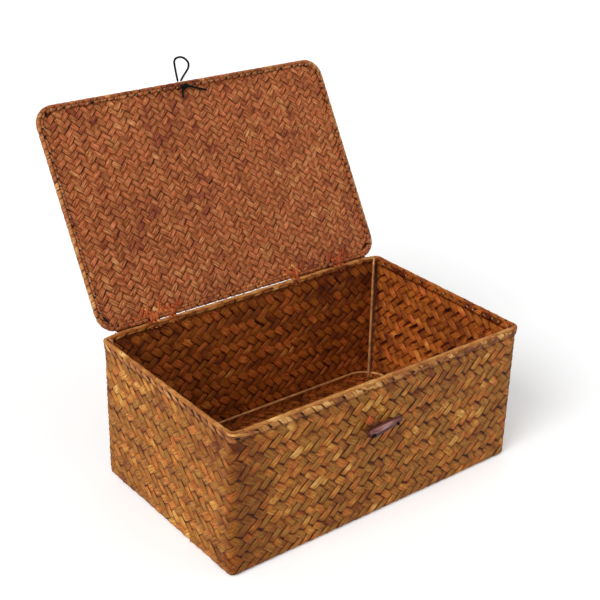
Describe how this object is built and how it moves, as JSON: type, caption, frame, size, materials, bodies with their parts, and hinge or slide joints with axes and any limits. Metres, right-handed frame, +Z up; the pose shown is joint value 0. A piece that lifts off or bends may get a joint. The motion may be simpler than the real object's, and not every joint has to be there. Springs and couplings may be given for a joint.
{
  "type": "woven lidded box",
  "caption": "Rectangular box and hinged lid of woven seagrass on a wire frame, with a cord loop at the lid's front edge that drops over a wooden toggle.",
  "frame": {"origin": "centre of the flat underside", "axes": "+Z up, +X along the long side, -Y towards the toggle at the front"},
  "size_m": [0.3034, 0.3052, 0.3263],
  "materials": {
    "seagrass": "twill of flat dried strips, golden brown",
    "lid_seagrass": "twill of flat dried strips, red-brown",
    "lashing": "flat dried strip, orange-red",
    "frame_wire": "bronze paint",
    "black_cord": "braided, matt",
    "toggle_wood": "polished"
  },
  "bodies": {
    "box": {"woven_base": "seagrass", "woven_wall": "seagrass", "rim_fold": "seagrass", "rim_wire": "frame_wire", "base_ring": "frame_wire", "corner_post_front_left": "frame_wire", "corner_post_front_right": "frame_wire", "corner_post_back_left": "frame_wire", "corner_post_back_right": "frame_wire", "hinge_lashing_outer_left": "lashing", "hinge_lashing_inner_left": "lashing", "hinge_lashing_inner_right": "lashing", "hinge_lashing_outer_right": "lashing"},
    "lid": {"lid_panel": "lid_seagrass", "lid_hem": "lid_seagrass", "lid_wire": "frame_wire", "closure_tie": "black_cord"},
    "loop": {"closure_loop": "black_cord"},
    "toggle": {"toggle": "toggle_wood", "toggle_cord": "black_cord", "toggle_knot_left": "black_cord", "toggle_knot_right": "black_cord"}
  },
  "joints": [
    {"name": "lid_hinge", "type": "hinge", "parent": "box", "child": "lid", "pos_m": [0, 0.0973, 0.1351], "axis": [1, 0, 0], "range_deg": [0, 120.6]},
    {"name": "loop_swing", "type": "hinge", "parent": "lid", "child": "loop", "pos_m": [-0.003, 0.20128, 0.30335], "axis": [1, 0, 0], "range_deg": [-90, 59], "stiffness_Nm_per_rad": 0.001},
    {"name": "toggle_pull", "type": "slide", "parent": "box", "child": "toggle", "axis": [0, -1, 0], "range_m": [0, 0.003]}
  ]
}
